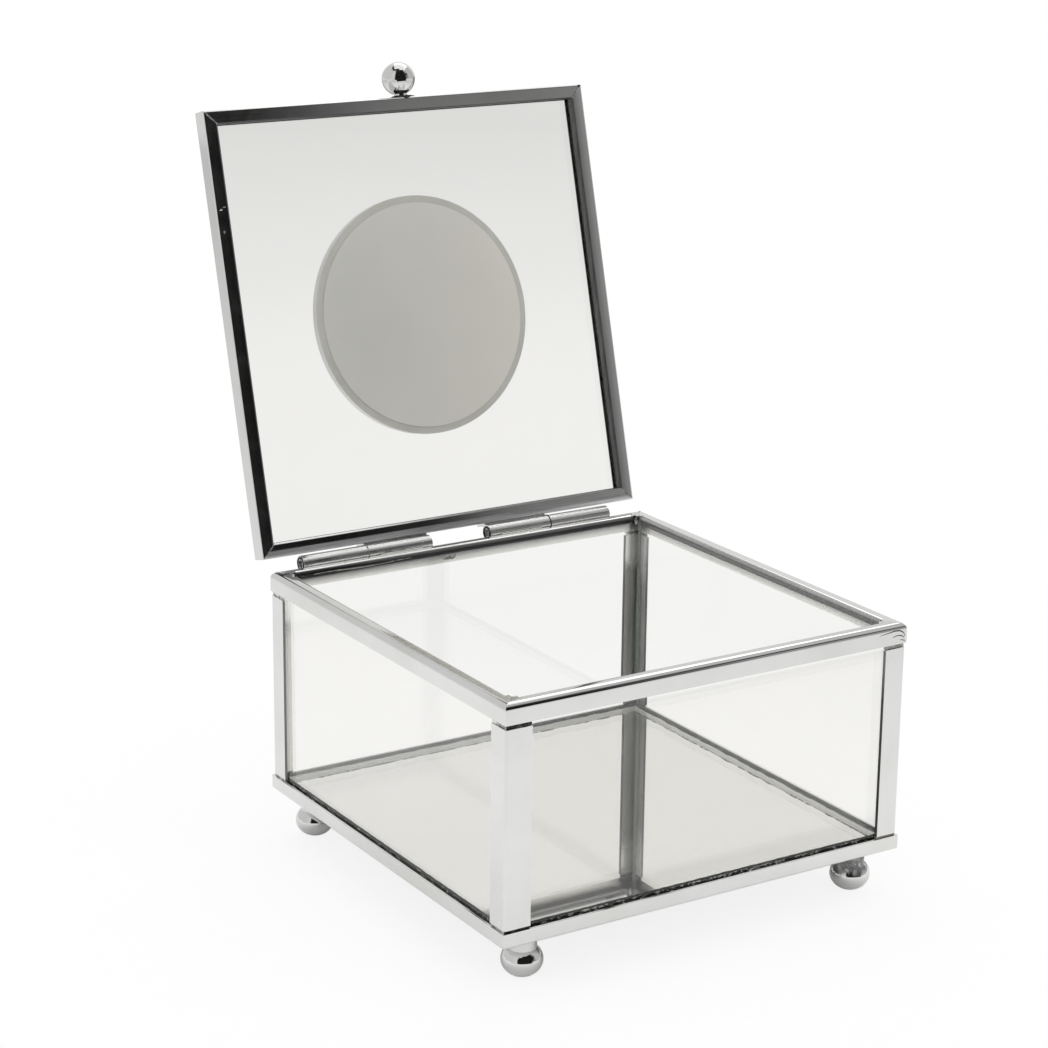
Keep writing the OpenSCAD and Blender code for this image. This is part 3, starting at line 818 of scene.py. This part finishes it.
def mirror_backing():
    """Coat of paint on the back of the mirror, with a wavering edge."""
    draw = random.Random(11)
    step, above, below = 2 * MM, 0.012 * MM, 0.003 * MM
    b = bmesh.new()
    upper, lower = [], []
    for (x, y), (wx, wy) in perimeter(PLATE_LOW, PLATE_HIGH, step):
        d = draw.uniform(0.25, 0.6) * MM
        for loop, height in ((upper, above), (lower, below)):
            loop.append(b.verts.new((x + wx * d, y + wy * d, PLATE_LOW.z + height)))
    prism(b, lower, upper)
    piece("mirror_backing", b, "casket", [back_paint()])


def strip_outline(length, height, seed):
    """Ragged outline of a filled joint, as [along, up] from its lower left corner."""
    draw = random.Random(seed)
    step = 0.6 * MM
    count = max(4, round(length / step))
    upper = [(length * i / count, height * draw.uniform(0.86, 1.0)) for i in range(count + 1)]
    lower = [(length * i / count, height * draw.uniform(0.0, 0.12)) for i in range(count + 1)]
    return lower + list(reversed(upper))


def post_joint(name, sx, sy, seed, materials):
    """Filling in the slits above and below a post: one material on its front or back, one on its side; black
    flux there is partly real flux and partly painted shadow of the slit.
    """
    inset, short, thick, proud_below = 0.3 * MM, 0.35 * MM, 0.3 * MM, 0.1 * MM
    low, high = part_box("corner_post_" + name)
    outer = Vector((high.x if sx > 0 else low.x, high.y if sy > 0 else low.y, 0))
    slits = [(high.z + SLIT_GAP, RIM_LOW.z - SLIT_GAP, 0.0),
             (BASE_HIGH.z + SLIT_GAP, low.z - SLIT_GAP, proud_below)]
    legs = [(X * -sx, Y * sy, high.x - low.x), (Y * -sy, X * sx, high.y - low.y)]
    b = bmesh.new()
    for z0, z1, proud in slits:
        for k, (along, out, length) in enumerate(legs):
            start = outer - out * (STRIP - HAIR) + along * inset + Z * z0
            outline = strip_outline(length - short, z1 - z0, seed + k)
            back = [b.verts.new(start + along * u + Z * v) for u, v in outline]
            front = [b.verts.new(start + along * u + Z * v + out * (thick + proud)) for u, v in outline]
            prism(b, back, front, k)
    settle(b, False)
    piece("post_joint_" + name, b, "casket", materials)


def bead(name, line, out, width, height, seed, body, material):
    """Low ragged ridge of solder, glue or flux along a line of points, on the surface that faces out."""
    draw = random.Random(seed)
    sink = 0.02 * MM
    turns = [math.pi * k / 5 for k in range(6)]
    b = bmesh.new()
    rings = []
    count = len(line)
    for i, at in enumerate(line):
        ahead = (line[min(i + 1, count - 1)] - line[max(i - 1, 0)]).normalized()
        side = ahead.cross(out).normalized()
        ends = math.sin(math.pi * (i + 0.6) / (count + 0.2))
        w = width * draw.uniform(0.6, 1.15) * (0.5 + 0.5 * ends)
        h = height * draw.uniform(0.7, 1.1) * (0.4 + 0.6 * ends)
        rings.append([b.verts.new(at + side * (w / 2 * math.cos(a)) + out * (h * math.sin(a) - sink))
                      for a in turns])
    for one, two in zip(rings, rings[1:]):
        band(b, one, two)
    b.faces.new(list(reversed(rings[0])))
    b.faces.new(rings[-1])
    settle(b, True)
    piece(name, b, body, [material])


def blob(name, at, size, seed, body, material):
    """Small lump of solder, glue or flux, of a size in millimetres."""
    draw = random.Random(seed)
    b = bmesh.new()
    bmesh.ops.create_icosphere(b, subdivisions=3, radius=1.0)
    lean = [Vector([draw.uniform(-1, 1) for _ in range(3)]).normalized() for _ in range(5)]
    swell = [draw.uniform(-0.16, 0.22) for _ in lean]
    size = Vector(size) * MM
    for v in b.verts:
        grow = 1 + sum(s * max(0.0, v.co.dot(w)) ** 2 for w, s in zip(lean, swell))
        v.co = Vector([c * s / 2 * grow for c, s in zip(v.co, size)]) + at
    settle(b, True)
    piece(name, b, body, [material])


def ring(name, x, radius, width, seed, body, material):
    """Thin collar around the hinge axis, a little uneven."""
    draw = random.Random(seed)
    b = bmesh.new()
    steps, sides, uneven = 48, 8, 0.03 * MM
    at = Vector((x, LID_AXIS.y, LID_AXIS.z))
    loops = []
    for i in range(steps):
        a = 2 * math.pi * i / steps
        grow = draw.uniform(-uneven, uneven)
        loop = []
        for k in range(sides):
            c = 2 * math.pi * k / sides
            r = radius + grow + width / 2 * math.sin(c)
            loop.append(b.verts.new(at + Vector((width / 2 * math.cos(c), r * math.cos(a), r * math.sin(a)))))
        loops.append(loop)
    for one, two in zip(loops, loops[1:] + loops[:1]):
        band(b, one, two)
    settle(b, True)
    piece(name, b, body, [material])


def along_line(start, end, count):
    return [start.lerp(end, i / (count - 1)) for i in range(count)]


def on_lid(x, y, z):
    """A point of the closed lid, measured from the hinge axis, where the open lid has it."""
    return LID_AXIS + LID_TURN @ Vector((x, y, z))


def edge_seal(name, start, along, inward, length, seed):
    """Dark ridge in the corner between a wall and the mirror, with a ragged crest."""
    draw = random.Random(seed)
    step = 0.8 * MM
    count = round(length / step)
    b = bmesh.new()
    rings = []
    for i in range(count + 1):
        at = start + along * (length * i / count)
        high = draw.uniform(0.36, 0.47) * MM
        wide = draw.uniform(0.22, 0.34) * MM
        section = [(0, 0), (0, high), (0.3 * wide, 0.92 * high), (0.75 * wide, 0.45 * high), (wide, 0)]
        rings.append([b.verts.new(at + inward * u + Z * v) for u, v in section])
    for one, two in zip(rings, rings[1:]):
        band(b, one, two)
    b.faces.new(rings[0])
    b.faces.new(list(reversed(rings[-1])))
    settle(b, False)
    piece(name, b, "casket", [metals["flux"]])


def edge_chips(name, start, along, out, length, count, seed):
    """White flakes of broken arris caught between a wall and the mirror."""
    draw = random.Random(seed)
    near_out, far_out = 0.015 * MM, -0.02 * MM
    b = bmesh.new()
    for _ in range(count):
        t = draw.random() ** 0.75
        long = draw.uniform(0.25, 1.1) * MM
        high = draw.uniform(0.08, 0.22) * MM
        at = start + along * (length * t) + Z * draw.uniform(-0.55, 0.12) * MM
        lean = draw.uniform(-0.5, 0.9)
        tips = [at + along * (long * u) + Z * (high * v + long * u * lean * 0.35)
                for u, v in ((-0.5, 0), (-0.1, 0.8), (0.35, 0.6), (0.5, -0.1), (0.0, -0.7))]
        near = [b.verts.new(tip + out * near_out) for tip in tips]
        far = [b.verts.new(tip + out * far_out) for tip in tips]
        prism(b, far, near)
    settle(b, False)
    piece(name, b, "casket", [metals["flake"]])


def mirror_edging():
    """Dark ridges and flakes along the mirror's front and left edges, behind those walls."""
    start, tucked, lift = 0.3 * MM, 0.08 * MM, 0.002 * MM
    chips_in, chips_up = 0.05 * MM, Z * 0.1 * MM
    front = Vector((PLATE_LOW.x + start, PLATE_LOW.y - tucked, PLATE_HIGH.z + lift))
    side = Vector((PLATE_LOW.x - tucked, PLATE_LOW.y + start, PLATE_HIGH.z + lift))
    length = PLATE_HIGH.x - PLATE_LOW.x - 2 * start
    edge_seal("edge_seal_front", front, X, Y, length, 91)
    edge_seal("edge_seal_left", side, Y, X, length, 92)
    edge_chips("edge_chips_front", front + Y * chips_in + chips_up, X, -Y, length, 84, 93)
    edge_chips("edge_chips_left", side + X * chips_in + chips_up, Y, -X, length, 26, 94)


def hinge_collars():
    """Thin collars at each hinge: where its leaves meet, and at its outer and inner ends."""
    for name, left in (("left", True), ("right", False)):
        box_low, box_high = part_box(f"hinge_{name}_box_leaf")
        lid_low, lid_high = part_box(f"hinge_{name}_lid_leaf")
        outer, inner = (box_low.x, box_high.x) if left else (box_high.x, box_low.x)
        mate, tip = (lid_low.x, lid_high.x) if left else (lid_high.x, lid_low.x)
        ring(f"hinge_collar_{name}", (inner + mate) / 2, 1.68 * MM, 0.30 * MM, 101, "casket",
             metals["solder" if left else "flux"])
        ring(f"hinge_rim_{name}", outer, 1.26 * MM, (0.34 if left else 0.5) * MM, 103, "casket",
             metals["flux"])
        ring(f"hinge_tip_{name}", tip, 1.22 * MM, 0.5 * MM, 105, "lid", metals["flux"])


def small_marks():
    """Spots of glue, solder and flux, the glue line under the back rail, and the front rail's creases as
    black flux ridges, a painted shade of the folds.
    """
    # Name, place and size in millimetres, seed and material
    casket_spots = [
        ("glue_blob", (-4.2, 25.85, 53.3), (1.5, 0.5, 1.5), 111, "glue"),
        ("glue_trail", (-5.6, 25.9, 52.9), (2.2, 0.35, 0.5), 112, "glue"),
        ("solder_spot_back_right", (41.9, 25.3, 55.5), (1.3, 1.3, 0.4), 113, "solder"),
        ("solder_corner_back_right", (41.55, 25.25, 54.3), (1.0, 1.0, 1.8), 116, "solder"),
        ("flux_spot_back_left", (-41.0, 22.4, 55.5), (0.7, 1.5, 0.12), 114, "flux"),
        ("flux_spot_corner_left", (-43.1, 25.6, 55.5), (1.5, 0.7, 0.12), 115, "flux"),
    ]
    lid_spots = [
        ("lid_tick", (-43.2, -73.1), (0.8, 0.1, 0.28), 117, "solder"),
        ("lid_tick_end", (-44.0, -72.6), (0.7, 0.1, 0.4), 118, "solder"),
        ("lid_fleck", (-43.9, -68.0), (0.35, 0.1, 0.9), 118, "solder"),
        ("lid_corner_spot", (44.3, -92.15), (0.9, 0.16, 0.5), 119, "flux"),
    ]
    creases = {"upper": [(38.4, 53.9), (40.3, 54.1), (42.0, 54.3), (43.3, 54.2), (44.2, 53.7), (44.5, 53.0)],
               "lower": [(41.6, 53.1), (42.6, 53.3), (43.6, 53.2), (44.4, 52.7)],
               "end": [(43.4, 52.4), (44.1, 52.2), (44.7, 52.0)]}
    for name, at, size, seed, material in casket_spots:
        blob(name, Vector(at) * MM, size, seed, "casket", metals[material])
    for name, (x, y), size, seed, material in lid_spots:
        blob(name, on_lid(x * MM, y * MM, LID_FACE), size, seed, "lid", metals[material])
    glue_line = [Vector((x, 25.45, 54.42 + 0.12 * math.sin(x / 3.1))) * MM for x in range(-40, -12)]
    bead("glue_line_back", glue_line, -Y, 0.30 * MM, 0.07 * MM, 130, "casket", metals["glue"])
    low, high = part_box("lid_knob")
    knob_foot = on_lid((low.x + high.x) / 2 - LID_AXIS.x, LID_FAR, (LID_THICK - LID_FACE) / 2)
    blob("knob_flux", knob_foot, (5.4, 2.6, 1.1), 128, "lid", metals["flux"])
    blob("flux_spot_front_left", Vector((-40.5 * MM, POST_LOW.y, 51.1 * MM)), (1.5, 0.35, 0.8), 129,
         "casket", metals["flux"])
    # Creases as low ridges of black flux: painted shade along the folds
    for k, (name, line) in enumerate(creases.items()):
        points = [Vector((x * MM, RIM_LOW.y, z * MM)) for x, z in line]
        bead("crease_" + name, points, -Y, 0.26 * MM, 0.05 * MM, 121 + k,
             "casket", metals["flux"])


def mitre_beads():
    """Solder along the mitres of the rim and of the lid's inner face."""
    from_corner, short, points = 0.9 * MM, 1.9 * MM, 9
    for k, (name, (sx, sy)) in enumerate(CORNERS.items()):
        outer = Vector(((RIM_HIGH.x if sx > 0 else RIM_LOW.x) - sx * from_corner,
                        (RIM_HIGH.y if sy > 0 else RIM_LOW.y) - sy * from_corner, RIM_HIGH.z))
        inner = outer - Vector((sx, sy, 0)) * (RAIL_WIDTH - short)
        bead("mitre_bead_" + name, along_line(outer, inner, points), Z, 0.42 * MM, 0.09 * MM,
             31 + k, "casket", metals["solder"])
    ends = {"near_left": (-1, LID_NEAR, -1), "near_right": (1, LID_NEAR, -1),
            "far_left": (-1, LID_FAR, 1), "far_right": (1, LID_FAR, 1)}
    for k, (name, (sx, y, way)) in enumerate(ends.items()):
        outer, inner = (on_lid(sx * (LID_SIDE - d), y + way * d, LID_FACE)
                        for d in (0.3 * MM, LID_FRAME - 0.1 * MM))
        bead("lid_bead_" + name, along_line(outer, inner, points), LID_INNER_SIDE, 0.34 * MM, 0.07 * MM,
             51 + k, "lid", metals["solder"])


studio_camera()
studio_world()
studio_floor()
studio_screen()
studio_lamp()

metals = {
    # The rails' fold and lip tones and top factor carry painted shade, set apart for the front and back rails
    # and the side rails
    "rail_x": rail_metal("plated_rail_x", Y, ALONG_X, (0.02, 0.22), (0.03, 0.34), 0.87),
    "rail_y": rail_metal("plated_rail_y", X, ALONG_Y, (0.26, 0.60), (0.20, 0.08), 1.0),
    "post": post_metal(),
    "ball": ball_metal(),
    "lid_x": lid_metal("lid_rail_x", LID_ALONG, ALONG_X, HEM_PAINTED_SHADE, TOP_SHADING),
    "lid_hinged": lid_metal("lid_rail_hinged", LID_ALONG, ALONG_X, HEM_PAINTED_LIGHT_AND_SHADE, BOTTOM_SHADING, hinged=True),
    "lid_z": lid_metal("lid_rail_z", X, ALONG_Z, HEM_PAINTED_SHADE, SIDE_SHADING, across=True),
    "hinge": hinge_metal(),
    "solder": mottled("solder", dict(scale=800, detail=4, rough=0.65, twist=0.4), (0.42, 0.62),
                      [(0.25, 0.25, 0.24, 1), (0.88, 0.88, 0.86, 1)],
                      (0.4, 0.7, 0.35, 0.15), 0.04, metal=1.0),
    "flux": mottled("joint_flux", dict(scale=900, detail=4, rough=0.65, twist=0.5), (0.45, 0.75),
                    [grey(0.008), (0.10, 0.10, 0.09, 1)], 0.5, 0.03, specular=0.2),
    "glue": mottled("glue", dict(scale=600, rough=0.6), (0.35, 0.65),
                    [(0.16, 0.155, 0.14, 1), (0.45, 0.44, 0.41, 1)], 0.25, 0.05),
    "flake": mottled("glass_flake", dict(scale=1500, detail=2), (0.35, 0.65),
                     [(0.62, 0.63, 0.61, 1), (0.95, 0.95, 0.93, 1)], 0.3),
}
rails_x = ["top_rail_front", "top_rail_back", "base_rail_front", "base_rail_back"]
rails_y = ["top_rail_left", "top_rail_right", "base_rail_left", "base_rail_right"]
posts = ["corner_post_" + name for name in CORNERS]
lid_sides = ["lid_rail_left", "lid_rail_right"]

dress(rails_x, metals["rail_x"])
dress(rails_y, metals["rail_y"])
dress(posts, metals["post"])
dress(["foot_front_left", "foot_back_left", "foot_back_right", "lid_knob"], metals["ball"])
dress(["foot_front_right"], stained_ball())
dress(["lid_rail_front"], metals["lid_x"])
dress(["lid_rail_back"], metals["lid_hinged"])
dress(lid_sides, metals["lid_z"])
dress([name for name in frame["nodes"] if name.startswith("hinge_")], metals["hinge"])
dress(["medallion"], satin_disc())
dress(["medallion_pad"], adhesive())
soften(rails_x + rails_y + posts + ["lid_rail_front", "lid_rail_back"] + lid_sides)

wall = clear_glass("wall_glass", (0.999, 0.996, 0.984, 1))
cover = clear_glass("lid_glass", (0.999, 0.995, 0.972, 1))
ground = mottled("glass_edge", dict(scale=1800, rough=0.6), (0.35, 0.7),
                 [(0.30, 0.345, 0.325, 1), (0.46, 0.51, 0.49, 1)], (0.3, 0.7, 0.3, 0.5), 0.01)
for side in ("front", "back", "left", "right"):
    arrised_pane("pane_" + side, "glass_" + side, "casket", wall, ground)
arrised_pane("lid_pane", "lid_glass", "lid", cover, ground)
mirror_plate()
mirror_backing()
# Slit filling: black flux at the left posts, partly painted shadow of the slits; glue at the front right post
# and solder at the back right
for k, (name, (sx, sy)) in enumerate(CORNERS.items()):
    filler = {"front_right": "glue", "back_right": "solder"}.get(name, "flux")
    post_joint(name, sx, sy, 70 + 4 * k, [metals[filler], metals["solder"]])
mitre_beads()
mirror_edging()
hinge_collars()
small_marks()

bpy.context.scene.view_settings.view_transform = "Standard"
